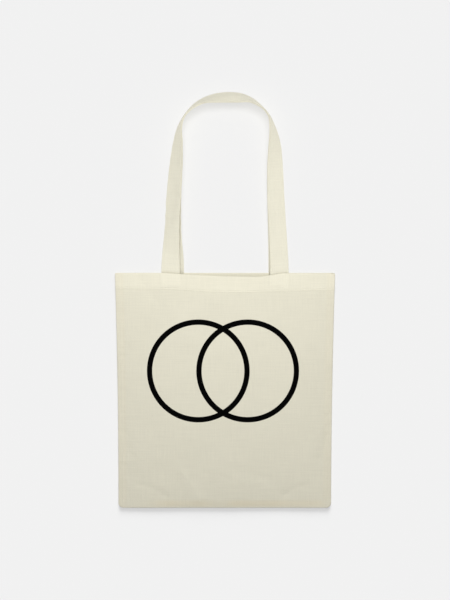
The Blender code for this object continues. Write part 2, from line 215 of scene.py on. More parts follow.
# Lights that come evenly from one direction: softness, azimuth and elevation in degrees, and what each
# shines on. Their strengths are the stage's properties of the same names.
Sun = namedtuple("Sun", "name softness azimuth elevation receivers")
SUNS = rows_of(Sun, (
    ("fill", 60, 0, 90, "tote_pieces"),
    ("base_fill", 40, 270, 15, "tote_pieces"),
    ("strap_sky", 140, 0, 90, "tote_straps"),
    ("strap_side", 30, 0, 35, "tote_straps"),
    ("strap_left", 30, 180, 20, "tote_straps"),
    ("high_sky", 30, 88, 75, "tote_table"),
    ("low_sky", 30, 88, 25, "tote_table"),
))
SUN_PLACE = (0.0, 0.0, 2.0)
SOFT_BOX_PLACE = Vector((0.0, 0.7, 1.3))
SOFT_BOX_SIZE = 0.6
CAMERA_Y = -0.8 * MM
SENSOR_WIDTH = 36.0
FLOOR_REACH = 20.0
FLOOR_LEVEL = -0.1 * MM

# How full the bag is on its way up: up is a share of the height, puff a share of the puff height.
Fullness = namedtuple("Fullness", "up puff")
FULLNESS = rows_of(Fullness, (
    (0.00, 0.00),
    (0.04, 0.30),
    (0.10, 0.56),
    (0.20, 0.80),
    (0.35, 0.96),
    (0.50, 1.00),
    (0.65, 0.94),
    (0.80, 0.78),
    (0.93, 0.57),
    (1.00, 0.50),
))

# How far the front edge of the mouth and the front hem line sag: across is a share of the half width,
# dip a share of the mouth dip and hem of the hem sag.
Sag = namedtuple("Sag", "across dip hem")
SAGS = rows_of(Sag, (
    (-1.00, 0.0, 0.00),
    (-0.55, 0.05, 0.30),
    (-0.36, 0.50, 0.55),
    (-0.17, 0.80, 0.95),
    (0.00, 1.05, 1.12),
    (0.20, 1.20, 1.12),
    (0.32, 1.20, 1.05),
    (0.42, 0.70, 0.90),
    (0.54, 0.15, 0.80),
    (1.00, 0.20, 0.45),
))

# Soft folds of the front. Each runs from one end to the other, bowed sideways by a share of its length.
# Ends are shares of the half width and of the height, reach is a share of the height, and rise a share of
# the puff height, negative for a dent.
Fold = namedtuple("Fold", "from_across from_up to_across to_up bow reach rise")
BROAD_FOLDS = rows_of(Fold, (
    (-0.80, 0.100, -0.56, 0.045, 0.0, 0.026, -0.040),
    (0.78, 0.102, 0.56, 0.048, 0.0, 0.026, -0.040),
    (-0.95, 0.085, -0.66, 0.080, 0.0, 0.040, 0.045),
    (0.66, 0.080, 0.95, 0.085, 0.0, 0.040, 0.045),
    (-0.40, 0.030, 0.40, 0.030, 0.0, 0.045, 0.030),
    (-0.42, 0.170, -0.26, 0.045, 0.0, 0.026, 0.062),
    (-0.99, 0.360, -0.88, 0.230, 0.0, 0.022, -0.065),
    (0.99, 0.330, 0.88, 0.210, 0.0, 0.022, -0.065),
    (0.08, 0.170, 0.42, 0.120, 0.0, 0.026, -0.045),
    (-0.78, 0.985, -0.66, 0.900, 0.0, 0.022, -0.060),
))
FINE_FOLDS = rows_of(Fold, (
    (-0.80, 0.098, -0.54, 0.044, 0.10, 0.010, -0.034),
    (0.78, 0.100, 0.54, 0.046, -0.10, 0.010, -0.034),
    (-0.42, 0.160, -0.24, 0.030, 0.05, 0.009, 0.026),
    (0.52, 0.064, 0.60, 0.058, 0.0, 0.009, -0.030),
    (0.72, 0.092, 0.80, 0.082, 0.0, 0.010, -0.026),
    (0.14, 0.118, 0.20, 0.104, 0.0, 0.008, 0.024),
    (0.26, 0.104, 0.34, 0.112, 0.0, 0.008, 0.022),
    (0.32, 0.136, 0.42, 0.128, 0.0, 0.008, -0.018),
    (-0.20, 0.150, 0.10, 0.110, 0.08, 0.008, -0.016),
    (0.02, 0.105, 0.30, 0.135, -0.06, 0.008, 0.014),
    (-0.98, 0.320, -0.80, 0.270, 0.08, 0.007, -0.018),
    (-0.97, 0.260, -0.76, 0.200, 0.08, 0.007, 0.016),
    (0.97, 0.310, 0.80, 0.250, -0.08, 0.007, -0.018),
    (0.98, 0.240, 0.74, 0.190, -0.08, 0.007, 0.014),
    (-0.99, 0.720, -0.90, 0.690, 0.0, 0.008, -0.020),
    (0.99, 0.660, 0.91, 0.630, 0.0, 0.008, -0.018),
    (-0.99, 0.560, -0.92, 0.545, 0.0, 0.007, -0.016),
    (0.99, 0.500, 0.91, 0.480, 0.0, 0.007, -0.016),
    (-0.73, 0.995, -0.71, 0.925, 0.05, 0.005, 0.018),
    (-0.10, 0.900, 0.26, 0.880, 0.06, 0.010, -0.010),
    (-0.62, 0.880, -0.50, 0.800, 0.06, 0.012, -0.010),
    (0.60, 0.870, 0.52, 0.800, -0.06, 0.012, -0.010),
))

# The route of the pair of handles, from the left root over the top to the right root. Rise is the height
# of the outer edge above the mouth as a share of the handle rise, and across its distance from the middle
# as a share of the root's. A roll of 0 degrees lies flat and 90 stands on the outer edge. Inset is the
# share of the back handle's inset on that side, and lift the share of the way up to the mouth. Bend is how
# many degrees steeper the straps stand at their outer edge, and flatter at their inner edge.
Station = namedtuple("Station", "rise across front_roll back_roll inset lift bend")
HANDLE_ROUTE = rows_of(Station, (
    (0.000, -1.000, 0, 0, 1.0, 1.00, 0),
    (0.035, -1.000, 5, 4, 1.0, 0.80, 0),
    (0.110, -0.985, 20, 17.5, 0.85, 0.34, 2),
    (0.240, -0.948, 36, 32, 0.22, 0.06, 4),
    (0.420, -0.920, 39.5, 39, 0.0, 0.00, -5),
    (0.600, -0.870, 48.5, 48, 0.0, 0.00, -4),
    (0.720, -0.813, 62, 61.5, 0.0, 0.00, -4),
    (0.800, -0.751, 76, 76, 0.0, 0.00, 0),
    (0.865, -0.653, 84, 84, 0.0, 0.00, 0),
    (0.923, -0.518, 77, 77, 0.0, 0.00, 0),
    (0.962, -0.360, 69, 69, 0.0, 0.00, 2),
    (0.987, -0.160, 56, 56, 0.0, 0.00, 7),
    (0.996, 0.060, 50, 50, 0.0, 0.00, 11),
    (0.989, 0.260, 54, 54, 0.0, 0.00, 11),
    (0.962, 0.440, 70, 70, 0.0, 0.00, 5),
    (0.914, 0.602, 82, 82, 0.0, 0.00, 0),
    (0.876, 0.691, 84, 84, 0.0, 0.00, 0),
    (0.845, 0.743, 81, 81, 0.0, 0.00, 0),
    (0.770, 0.832, 63, 63, 0.0, 0.00, -1),
    (0.690, 0.885, 47, 47, 0.0, 0.00, -3),
    (0.560, 0.915, 32, 32, 0.0, 0.00, -3),
    (0.400, 0.938, 24, 24, 0.1, 0.00, -3),
    (0.220, 0.970, 16, 16, 0.4, 0.08, -2),
    (0.110, 0.990, 10, 10, 0.8, 0.34, 0),
    (0.035, 1.000, 3, 3, 1.0, 0.80, 0),
    (0.000, 1.000, 0, 0, 1.0, 1.00, 0),
))


def size_prop(name, description, default):
    """A length that a user may change."""
    return FloatProperty(name=name, description=description, default=default, unit="LENGTH")


def light_prop(name, description, default):
    """The strength of a light, which has no unit."""
    return FloatProperty(name=name, description=description, default=default)


def colour_prop(name, description, default):
    """A colour that a user may change."""
    return FloatVectorProperty(
        name=name, description=description, default=default, subtype="COLOR", size=3, min=0, max=1
    )


class ToteCloth(bpy.types.PropertyGroup):
    """Sizes of the bag's panels and hems."""

    base_width: size_prop("Base Width", "Width at the base seam", 0.380)
    thickness: size_prop("Cloth", "Thickness of one layer of cloth", 0.9 * MM)
    hem_depth: size_prop("Hem Depth", "Depth of the hem at its ends", 27.6 * MM)
    hem_sag: size_prop("Hem Sag", "How far the front hem line sags", 6.6 * MM)
    seam_allowance: size_prop("Seam Allowance", "Width inside the seams", 9.5 * MM)
    corner_radius: size_prop("Corner Radius", "Radius of the lower corners", 9 * MM)
    pucker: size_prop("Pucker", "Height of the gathers along the seams", 0.2 * MM)
    rumple: size_prop("Rumple", "Height of the cloth's loose waves", 0.2 * MM)


class ToteHandles(bpy.types.PropertyGroup):
    """Sizes of the two handles."""

    rise: size_prop("Rise", "Height of the handles over the mouth", 0.3244)
    width: size_prop("Strap Width", "Width of a strap", 33 * MM)
    thickness: size_prop("Strap Thickness", "Thickness of a folded strap", 1.5 * MM)
    tuck: size_prop("Tuck", "Length of a strap's end inside the mouth", 23.5 * MM)
    left_inset: size_prop("Left Inset", "How far in the back handle's left leg lies", 7.2 * MM)
    right_inset: size_prop("Right Inset", "How far in the back handle's right leg lies", 2.8 * MM)
    stitch_inset: size_prop("Stitch Inset", "From a strap's edge to its stitching", 3.2 * MM)


class ToteThread(bpy.types.PropertyGroup):
    """Sizes of the stitching."""

    stitch: size_prop("Stitch", "Length of a stitch in sight", 2.3 * MM)
    gap: size_prop("Gap", "Gap between two stitches", 0.7 * MM)
    radius: size_prop("Thread Radius", "Radius of the thread", 0.2 * MM)


class TotePrint(bpy.types.PropertyGroup):
    """Sizes of the printed rings."""

    radius: size_prop("Ring Radius", "Radius of a ring's middle line", 86.8 * MM)
    stroke: size_prop("Stroke", "Width of a ring's line", 9.5 * MM)
    spacing: size_prop("Spacing", "Distance between the rings' centres", 88.1 * MM)
    above_base: size_prop("Above Base", "Height of the rings over the base", 0.2452)
    shift: size_prop("Shift", "How far the rings lie off the middle", -3.6 * MM)


class ToteFinish(bpy.types.PropertyGroup):
    """Colours of the bag and its stage."""

    cotton: colour_prop("Cotton", "Colour of the panels", (0.808, 0.775, 0.633))
    strap: colour_prop("Strap", "Colour of the handles", (0.80, 0.77, 0.635))
    thread: colour_prop("Thread", "Colour of the stitching", (0.86, 0.835, 0.72))
    ink: colour_prop("Ink", "Colour of the print", (0.002, 0.002, 0.002))
    floor: colour_prop("Floor", "Colour of the pale floor", (0.34, 0.34, 0.34))
    weave: size_prop("Weave", "Distance between two threads", 0.55 * MM)


class ToteStage(bpy.types.PropertyGroup):
    """Sizes of the camera and lights."""

    distance: size_prop("Camera Distance", "Height of the camera over the bag", 3.0)
    frame_width: size_prop("Frame Width", "Width of the floor in the picture", 0.8055)
    room: light_prop("Room Light", "Strength of the light all round", 0.31)
    glow: light_prop("Floor Glow", "Light that the pale floor gives", 0.34)
    key_power: FloatProperty(
        name="Key Power", description="Power of the soft box over the bag", default=16.0, unit="POWER"
    )
    fill: light_prop("Fill", "Strength of the even light on the body", 0.16)
    base_fill: light_prop("Base Fill", "Strength of the low light on the base", 0.55)
    strap_sky: light_prop("Strap Light", "Strength of the light on the straps", 2.15)
    strap_side: light_prop("Strap Side", "Strength of their light from the right", 0.50)
    strap_left: light_prop("Strap Left", "Strength of their light from the left", 0.28)
    high_sky: light_prop("High Light", "Strength on the floor, from high", 1.763)
    low_sky: light_prop("Low Light", "Strength on the floor, from low", 5.5)


def column_of(table, name):
    """One named column of a table as an array."""
    return np.array([getattr(row, name) for row in table], float)


def smooth_curve(keys, values, at):
    """Reads values among their keys at the places asked, along a smooth curve through all of them."""
    at = np.clip(at, keys[0], keys[-1])
    slopes = np.empty_like(values)
    slopes[1:-1] = (values[2:] - values[:-2]) / (keys[2:] - keys[:-2])
    slopes[0] = (values[1] - values[0]) / (keys[1] - keys[0])
    slopes[-1] = (values[-1] - values[-2]) / (keys[-1] - keys[-2])
    i = np.clip(np.searchsorted(keys, at, side="right") - 1, 0, len(keys) - 2)
    span = keys[i + 1] - keys[i]
    t = (at - keys[i]) / span
    start = (2 * t**3 - 3 * t**2 + 1) * values[i] + (t**3 - 2 * t**2 + t) * span * slopes[i]
    end = (3 * t**2 - 2 * t**3) * values[i + 1] + (t**3 - t**2) * span * slopes[i + 1]
    return start + end


def read_table(table, key, name, at):
    """Reads one column of a table by another, smoothly."""
    return smooth_curve(column_of(table, key), column_of(table, name), at)


def smooth_step(t):
    """Rises smoothly from 0 to 1 as t does."""
    t = np.clip(t, 0, 1)
    return t * t * (3 - 2 * t)


def bell(distance, reach):
    """Falls smoothly from 1 towards 0 as a distance outgrows its reach."""
    return np.exp(-((distance / reach) ** 2))


def shown(edge, inside):
    """Rises smoothly from 0 to 1 over a soft edge, by how far inside it a point lies."""
    return smooth_step((inside + edge.ahead) / edge.run)


def dent(line, distance):
    """How deep a stitch line dents the cloth at a distance from it."""
    return line.depth * bell(distance, line.reach)


def unit(vectors):
    """Vectors of the same directions and of length 1."""
    return vectors / np.linalg.norm(vectors, axis=-1, keepdims=True)


def ripples(across, up, kind, waves=9):
    """Loose waves in every direction, of about one unit of height, the same ones for the same seed."""
    draw = np.random.default_rng(kind.seed)
    total = np.zeros_like(across + up)
    for _ in range(waves):
        turn, phase = draw.uniform(0, 2 * math.pi, 2)
        length = kind.wavelength * draw.uniform(0.7, 1.5)
        along = across * math.cos(turn) + up * math.sin(turn)
        total += np.sin(along * 2 * math.pi / length + phase)
    return total / math.sqrt(waves)


def gathers(along, kind):
    """Uneven small gathers along a seam, of about one unit of height."""
    return ripples(along, along * 0, kind, waves=7)


def half_width(up):
    """Half of the bag's width at a height above the base seam."""
    share = np.clip(up / BAG_HEIGHT, 0, 1)
    base_width = bpy.context.scene.tote_cloth.base_width
    return (base_width + (MOUTH_WIDTH - base_width) * share**2) / 2


def middle_line(up):
    """The bag's middle at a height above the base seam, which drifts a little sideways to the base."""
    return BASE_SHIFT * (1 - np.clip(up / BAG_HEIGHT, 0, 1)) ** 2


def side_share(across, up):
    """Where a point is between the middle (0) and a side seam (-1 or 1)."""
    return np.clip((across - middle_line(up)) / half_width(up), -1, 1)


def side_inset(across, up):
    """How far in from the nearer side seam a point lies."""
    return half_width(up) * (1 - np.abs(side_share(across, up)))


def fold_relief(folds, across, up):
    """What a table of soft folds adds to the front."""
    total = np.zeros_like(across + up)
    for fold in folds:
        ends = []
        for share, height in ((fold.from_across, fold.from_up), (fold.to_across, fold.to_up)):
            rise = height * BAG_HEIGHT
            ends.append(np.array([middle_line(rise) + share * half_width(rise), rise]))
        run = ends[1] - ends[0]
        length = np.linalg.norm(run)
        along, aside = run / length, np.array([-run[1], run[0]]) / length
        x, y = across - ends[0][0], up - ends[0][1]
        t = np.clip((x * along[0] + y * along[1]) / length, 0, 1)
        bend = fold.bow * length * 4 * t * (1 - t)
        dx = x - along[0] * t * length - aside[0] * bend
        dy = y - along[1] * t * length - aside[1] * bend
        distance = np.hypot(dx, dy)
        total += fold.rise * PUFF_HEIGHT * bell(distance, fold.reach * BAG_HEIGHT)
    return total


def crown(across, up):
    """The height of the front's outer face in broad form."""
    allowance = bpy.context.scene.tote_cloth.seam_allowance
    side = np.abs(side_share(across, up))
    along = read_table(FULLNESS, "up", "puff", up / BAG_HEIGHT)
    dome = (1 - side**SIDE_FULLNESS) * along
    near = np.minimum(half_width(up) * (1 - side), up) / allowance
    return EDGE_HEIGHT + PUFF_HEIGHT * dome + fold_relief(BROAD_FOLDS, across, up) * np.clip(near, 0, 1)


def mouth_dip(across, up):
    """How far the front is drawn down from the mouth at a point."""
    dip = read_table(SAGS, "across", "dip", side_share(across, up))
    return MOUTH_DIP * dip * smooth_step((up - BAG_HEIGHT + DIP_REACH) / DIP_REACH)


def front_mouth(across):
    """The height of the front edge of the mouth above the base."""
    return BAG_HEIGHT - mouth_dip(across, BAG_HEIGHT)


def front_hem_line(across):
    """The height of the front hem's lower edge above the base."""
    cloth = bpy.context.scene.tote_cloth
    sag = read_table(SAGS, "across", "hem", side_share(across, BAG_HEIGHT))
    return BAG_HEIGHT - cloth.hem_depth - cloth.hem_sag * sag


def back_mouth(across):
    """The height of the back edge of the mouth above the base."""
    return BAG_HEIGHT + across * 0


def back_hem_line(across):
    """The height of the back hem's lower edge above the base."""
    return BAG_HEIGHT - bpy.context.scene.tote_cloth.hem_depth + across * 0


def leg_inset(which, side):
    """How far in a handle's leg lies at its root: only the back handle's legs are set in."""
    if which == "front":
        return 0.0
    handles = bpy.context.scene.tote_handles
    return handles.left_inset if side < 0 else handles.right_inset


def box_corners(side, which):
    """The sewn box over one strap's end, as (left, right, low, high) across and above the base."""
    handles = bpy.context.scene.tote_handles
    inset = leg_inset(which, side)
    outer = STRAP_ROOT - inset - BOX_MARGIN
    inner = STRAP_ROOT - inset - handles.width + BOX_MARGIN
    left, right = sorted((side * outer, side * inner))
    middle = (left + right) / 2
    mouth = float(front_mouth(np.array(middle))) if which == "front" else BAG_HEIGHT
    return left, right, mouth - handles.tuck + BOX_MARGIN / 2, mouth - STRAP_END_INSET


def box_lines(which):
    """The stitch lines of a handle's two sewn boxes, with their crossing diagonals, as pairs of points."""
    lines = []
    for side in (-1, 1):
        left, right, low, high = box_corners(side, which)
        corners = [(left, low), (right, low), (right, high), (left, high)]
        lines += [*zip(corners, corners[1:] + corners[:1]), corners[::2], corners[1::2]]
    return lines


def line_distance(across, up, start, end):
    """How far a point is from a straight line between two points."""
    run = np.subtract(end, start)
    x, y = across - start[0], up - start[1]
    t = np.clip((x * run[0] + y * run[1]) / run.dot(run), 0, 1)
    return np.hypot(x - run[0] * t, y - run[1] * t)


def box_relief(across, up):
    """How the straps' ends swell the front over them, with dents along the sewn boxes."""
    total = np.zeros_like(across + up)
    for side in (-1, 1):
        left, right, low, _ = box_corners(side, "front")
        left, right, low = left - BOX_MARGIN, right + BOX_MARGIN, low - BOX_MARGIN / 2
        swell = shown(BOX_EDGE, across - left) * shown(BOX_EDGE, right - across)
        total += BOX_SWELL * swell * shown(BOX_EDGE, up - low)
    for start, end in box_lines("front"):
        total -= dent(FRONT_BOX_DENT, line_distance(across, up, start, end))
    return total


def seam_relief(across, up):
    """The swell of the hem and seam allowances under the front, and the gathers along their stitching."""
    cloth = bpy.context.scene.tote_cloth
    allowance = cloth.seam_allowance
    over_hem = up - front_hem_line(across)
    inset = side_inset(across, up)
    swell = HEM_SWELL * shown(HEM_EDGE, over_hem) - dent(FRONT_HEM_DENT, over_hem - HEM_STITCH_UP)
    hem_reach = np.where(over_hem < 0, BELOW_HEM_REACH, ABOVE_HEM_REACH)
    hem_pucker = gathers(across, HEM_GATHER) * bell(over_hem, hem_reach)
    side_pucker = gathers(up + np.sign(across), SIDE_GATHER) * bell(inset - allowance, GATHER_REACH)
    base_pucker = gathers(across, BASE_GATHER) * bell(up - allowance, GATHER_REACH)
    base_ridge = BASE_RIDGE_SHARE * shown(BASE_RIDGE_EDGE, allowance - up)
    ridges = SEAM_RIDGE * np.maximum(shown(SIDE_RIDGE_EDGE, allowance - inset), base_ridge)
    return swell + ridges + cloth.pucker * (HEM_PUCKER_SHARE * hem_pucker + side_pucker + base_pucker)


def front_skin(across, up):
    """The height of the front's outer face with all its folds."""
    rumple = ripples(across, up, BROAD_RUMPLE) + FINE_SHARE * ripples(across, up, FINE_RUMPLE)
    height = crown(across, up) + fold_relief(FINE_FOLDS, across, up)
    height = height + bpy.context.scene.tote_cloth.rumple * rumple
    return height + box_relief(across, up) + seam_relief(across, up)


def back_skin(across, up):
    """The height of the back's outer face, which lies on the floor and rises only in its dents."""
    cloth = bpy.context.scene.tote_cloth
    dents = dent(BACK_HEM_DENT, up - back_hem_line(across) - HEM_STITCH_UP)
    for start, end in box_lines("back"):
        dents = np.maximum(dents, dent(BACK_BOX_DENT, line_distance(across, up, start, end)))
    waves = cloth.rumple * (1 + np.clip(ripples(across, up, BACK_RUMPLE), -1, 1))
    inset = np.minimum(side_inset(across, up), up)
    pucker = cloth.pucker * (1 + np.clip(gathers(up + 0.7 * across, BACK_GATHER), -1, 1))
    return dents + waves + pucker * bell(inset - BACK_GATHER_INSET, GATHER_REACH)


def upward(slope_x, slope_y):
    """Unit normals of a surface, pointing up, from its slopes."""
    return unit(np.stack([-slope_x, -slope_y, np.ones_like(slope_x)], -1))


def under_front(across, up, depth):
    """Points that lie a depth under the front's broad form."""
    step = 2 * MM
    slope_x = (crown(across + step, up) - crown(across - step, up)) / (2 * step)
    high = np.minimum(up + step, BAG_HEIGHT)
    slope_y = (crown(across, high) - crown(across, up - step)) / (high - up + step)
    return np.stack([across, up, crown(across, up)], -1) - upward(slope_x, slope_y) * depth


# The two walls of the bag. Sign is 1 for the front, whose cloth turns down at its edges, and -1 for the
# back, which turns up.
Wall = namedtuple("Wall", "name which skin mouth hem_line sign columns rows nodes rests_on sewn_to")
FRONT_WALL = Wall(
    "front_cloth", "front", front_skin, front_mouth, front_hem_line, 1, 72, 150,
    ("front_panel", "front_hem"), "back_cloth", (),
)
BACK_WALL = Wall(
    "back_cloth", "back", back_skin, back_mouth, back_hem_line, -1, 40, 70,
    ("back_panel", "back_hem"), "floor", ("left_allowance", "right_allowance", "base_allowance"),
)


def rim_of(radius):
    """A rounded rim as (inset, drop) pairs, from its turned-in edge up to the cloth's face."""
    turns = np.radians(RIM_TURN)
    return list(zip(radius * (1 - np.sin(turns)), radius * (1 - np.cos(turns))))


def round_corner(rise, row_drop, from_side, drop):
    """Bends a row near the base round the lower corners: how far in from the side and up its points lie."""
    radius = bpy.context.scene.tote_cloth.corner_radius
    nearer = np.where(drop < row_drop, rise, np.minimum(from_side, rise))
    ring = np.where(drop > row_drop, from_side, nearer)
    lean_side = np.maximum(radius - from_side + drop / 2, 0)
    lean_up = radius - rise + row_drop / 2
    pull = (radius - ring) / np.hypot(lean_side, lean_up)
    rounded = from_side < radius
    in_from_side = np.where(rounded, radius - lean_side * pull, from_side)
    return in_from_side, np.where(rounded, radius - lean_up * pull, rise)


def panel_sheet(wall):
    """A wall with its rims and folded hem as rows of points, and their extra plies or painted shade."""
    cloth = bpy.context.scene.tote_cloth
    skin, mouth, hem_line, sign = wall.skin, wall.mouth, wall.hem_line, wall.sign
    rim = rim_of(RIM_RADIUS)
    near = [(inset * MM, 0.0) for inset in NEAR_SEAM]
    margin = NEAR_SEAM[-1] * MM
    half = [(inset, drop, 0.0) for inset, drop in rim + near]
    half += [(margin, 0.0, (i + 1) / wall.columns) for i in range(wall.columns)]
    side = np.array([-1.0] * len(half) + [1.0] * (len(half) - 1))
    inset, drop, share = np.array(half + half[-2::-1]).T
    fold_radius = (cloth.thickness * 2 + FOLD_GAP) / 2
    points, layers = [], []

    def insets(nominal_up):
        return inset + share * (half_width(nominal_up) - margin)

    def places(nominal_up, from_side):
        return middle_line(nominal_up) + side * (half_width(nominal_up) - from_side)

    def add_row(across, up, level, layer):
        points.append(np.stack([across, up, level], -1))
        layers.append(np.full_like(across, layer))

    def add_face_row(nominal_up, up_of, layer):
        across = places(nominal_up, insets(nominal_up))
        up = up_of(across)
        add_row(across, up, skin(across, up) - sign * drop, layer)

    for rise, row_drop in rim + near:
        from_side = insets(rise)
        up = np.full_like(from_side, rise)
        if rise < cloth.corner_radius:
            from_side, up = round_corner(rise, row_drop, from_side, drop)
        across = places(rise, from_side)
        add_row(across, up, skin(across, np.maximum(up, 0)) - sign * np.maximum(drop, row_drop), 0.0)
    hem_start = BAG_HEIGHT - cloth.hem_depth
    below, above = HEM_STEPS[0] * MM, HEM_STEPS[-1] * MM
    for t in np.arange(1, wall.rows) / wall.rows:
        nominal = margin + t * (hem_start + below - margin)
        add_face_row(nominal, lambda x: margin + t * (hem_line(x) + below - margin), 0.0)
    for step in HEM_STEPS:
        add_face_row(hem_start + step * MM, lambda x: hem_line(x) + step * MM, float(step > 0))
    start, end = hem_start + above, BAG_HEIGHT - fold_radius
    for t in np.arange(1, BAND_ROWS + 1) / BAND_ROWS:
        add_face_row(
            start + t * (end - start),
            lambda x: (hem_line(x) + above) * (1 - t) + (mouth(x) - fold_radius) * t,
            1.0,
        )
    outer = points[-1][:, 0]
    reach = half_width(BAG_HEIGHT) - (cloth.seam_allowance + RAW_EDGE)
    kept = np.clip(outer, -reach, reach)
    inner = kept + (outer - kept) * 0.05
    # The hem's fold is painted a little darker, as shade.
    for turn in np.radians(FOLD_TURN):
        swing = turn / math.pi
        across = outer * (1 - swing) + inner * swing
        start_up = mouth(across) - fold_radius
        level = skin(across, start_up) - sign * fold_radius * (1 - np.cos(turn))
        level = level - sign * drop * (1 - swing)
        add_row(across, start_up + fold_radius * np.sin(turn), level, FOLD_PAINTED_SHADE)
    # The turned-in hem inside the mouth is painted darker, as shade.
    for t in np.arange(1, INNER_ROWS + 1) / INNER_ROWS:
        up = (mouth(inner) - fold_radius) * (1 - t) + (hem_line(inner) + RAW_EDGE) * t
        add_row(inner, up, skin(inner, up) - sign * 2 * fold_radius, INSIDE_PAINTED_SHADE)
    return np.array(points), np.array(layers)


def grid_faces(rows, columns, closed=False, flip=False):
    """Faces of a grid of points, numbered row by row, round and closed across its rows if asked."""
    corner = np.arange(rows * columns).reshape(rows, columns)
    ahead = np.roll(corner, -1, axis=1) if closed else corner[:, 1:]
    here = corner if closed else corner[:, :-1]
    faces = np.stack([here[:-1], ahead[:-1], ahead[1:], here[1:]], -1).reshape(-1, 4)
    return faces[:, ::-1] if flip else faces


def tube_faces(rows, columns):
    """Faces of a closed tube of rings of points, with both of its ends closed."""
    faces = [list(face) for face in grid_faces(rows, columns, closed=True)]
    faces.append(list(range(columns))[::-1])
    faces.append([(rows - 1) * columns + i for i in range(columns)])
    return faces


def group_named(name):
    """A collection that lights are limited to, made once."""
    return bpy.data.collections.get(name) or bpy.data.collections.new(name)


def bare_object(name, points, faces):
    """A mesh object in the scene that has no finish yet."""
    mesh = bpy.data.meshes.new(name)
    mesh.from_pydata(points, [], [list(face) for face in faces])
    obj = bpy.data.objects.new(name, mesh)
    bpy.context.scene.collection.objects.link(obj)
    return obj


def new_object(name, points, faces, material, group="tote_pieces"):
    """A smooth piece in a group for the lights, from points whose Y is a height over the base."""
    placed = np.array(points, float).reshape(-1, 3) + np.array([0.0, BASE_Y, 0.0])
    obj = bare_object(name, placed.tolist(), faces)
    obj.data.materials.append(material)
    obj.data.shade_smooth()
    obj.data.update()
    group_named(group).objects.link(obj)
    return obj


def lay_weave(obj, places):
    """Gives each vertex its place on the cloth, in metres across and along the weave."""
    layer = obj.data.uv_layers.new(name="weave")
    loops = np.empty(len(obj.data.loops), np.int32)
    obj.data.loops.foreach_get("vertex_index", loops)
    layer.data.foreach_set("uv", np.asarray(places, np.float32).reshape(-1, 2)[loops].ravel())


def mark(obj, name, values):
    """Marks each vertex with a value that the cloth's colour follows."""
    attribute = obj.data.attributes.new(name, "FLOAT", "POINT")
    attribute.data.foreach_set("value", np.asarray(values, np.float32).ravel())


def seam_warmth(across, up):
    """How far the seam allowances show through the cloth as a warmer band, less so at the base's ends."""
    share = side_share(across, up)
    base = shown(BASE_WARMTH_EDGE, -up) * shown(BASE_FOLD_EDGE, up)
    base *= shown(WARMTH_LEFT_EDGE, share) * shown(WARMTH_RIGHT_EDGE, -share)
    side = shown(SIDE_WARMTH_EDGE, -side_inset(across, up))
    return np.maximum(base * (0.8 + 0.25 * ripples(across, up * 0, WARMTH_DRIFT)), 0.25 * side)


def dress(obj, slot, *nodes):
    """Makes a piece ride on the bag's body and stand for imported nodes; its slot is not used."""
    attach(obj, "root")
    if nodes:
        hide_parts(*nodes)


def add_thickness(obj, thickness, offset):
    """Gives a sheet its thickness about its face (-1) or its middle (0)."""
    solid = obj.modifiers.new("Cloth", "SOLIDIFY")
    solid.thickness = thickness
    solid.offset = offset


def make_panel(wall):
    """One wall of the bag with its folded hem."""
    cloth = bpy.context.scene.tote_cloth
    points, layers = panel_sheet(wall)
    across, up = points[..., 0], points[..., 1]
    obj = new_object(wall.name, points, grid_faces(*across.shape, flip=wall.sign < 0), cotton_material())
    lay_weave(obj, points[..., :2])
    boxes = np.zeros(across.shape)
    for side in (-1, 1):
        left, right, low, _ = box_corners(side, wall.which)
        inside = (across > left - BOX_MARGIN) & (across < right + BOX_MARGIN)
        boxes = np.maximum(boxes, inside & (up > low))
    # The mark holds the extra layers of cloth and also the painted shade of the hem's fold and of the mouth's
    # inside.
    mark(obj, "layers", layers + BOX_LAYER * boxes)
    mark(obj, "warmth", seam_warmth(across, up))
    add_thickness(obj, cloth.thickness, -1)
    dress(obj, "natural_cotton", *wall.nodes)


def strap_sections():
    """Rows along the handles' route: how far along, outer edges, inward directions and other columns."""
    handles = bpy.context.scene.tote_handles
    edge_x = column_of(HANDLE_ROUTE, "across") * STRAP_ROOT
    edge_y = column_of(HANDLE_ROUTE, "rise") * handles.rise
    travelled = np.concatenate([[0], np.cumsum(np.hypot(np.diff(edge_x), np.diff(edge_y)))])
    at = np.linspace(0, travelled[-1], STRAP_ROWS)

    def along(values, places):
        return smooth_curve(travelled, values, places)

    ahead, behind = at + ROUTE_STEP, at - ROUTE_STEP
    run = unit(np.stack([along(v, ahead) - along(v, behind) for v in (edge_x, edge_y)], -1))
    flat = np.zeros(STRAP_ROWS)
    inward = np.stack([run[:, 1], -run[:, 0], flat], -1)
    edge = np.stack([along(edge_x, at), BAG_HEIGHT + along(edge_y, at), flat], -1)
    names = ("front_roll", "back_roll", "inset", "lift", "bend")
    return at, edge, inward, {name: along(column_of(HANDLE_ROUTE, name), at) for name in names}


def cumulative(values, places):
    """Running integral of rows of values over their places."""
    pieces = (values[:, 1:] + values[:, :-1]) / 2 * np.diff(places)
    return np.concatenate([np.zeros((len(values), 1)), np.cumsum(pieces, axis=1)], axis=1)


